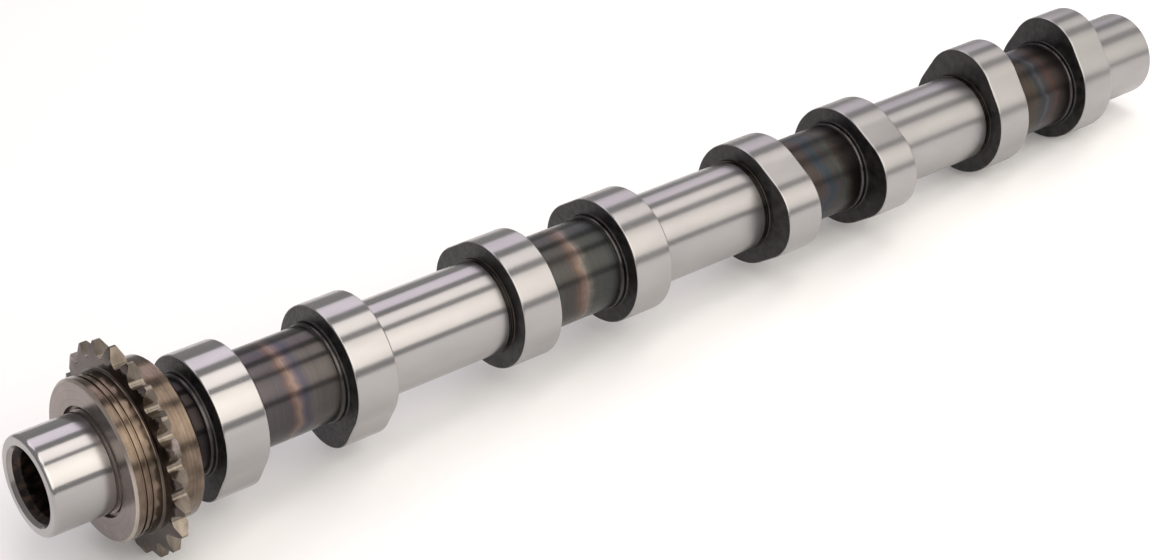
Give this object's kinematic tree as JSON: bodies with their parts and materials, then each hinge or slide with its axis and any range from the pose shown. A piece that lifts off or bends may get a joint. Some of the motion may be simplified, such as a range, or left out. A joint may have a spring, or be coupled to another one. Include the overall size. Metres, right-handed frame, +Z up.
{
  "type": "camshaft",
  "caption": "Overhead camshaft with paired lobes along a ground shaft, bearing journals between the pairs and a toothed chain wheel near its front end.",
  "frame": {"origin": "on the axis, at the middle of the front journal", "axes": "+X along the axis of rotation towards the rear end, +Z up, with the nose of the rearmost lobes upward"},
  "size_m": [0.362, 0.0511, 0.0511],
  "materials": {
    "shaft_steel": "ground, with dark unground necks and lobe sides",
    "wheel_steel": "turned, browned by heat treatment"
  },
  "bodies": {
    "root": {"camshaft": "shaft_steel", "chain_wheel": "wheel_steel"}
  },
  "joints": []
}
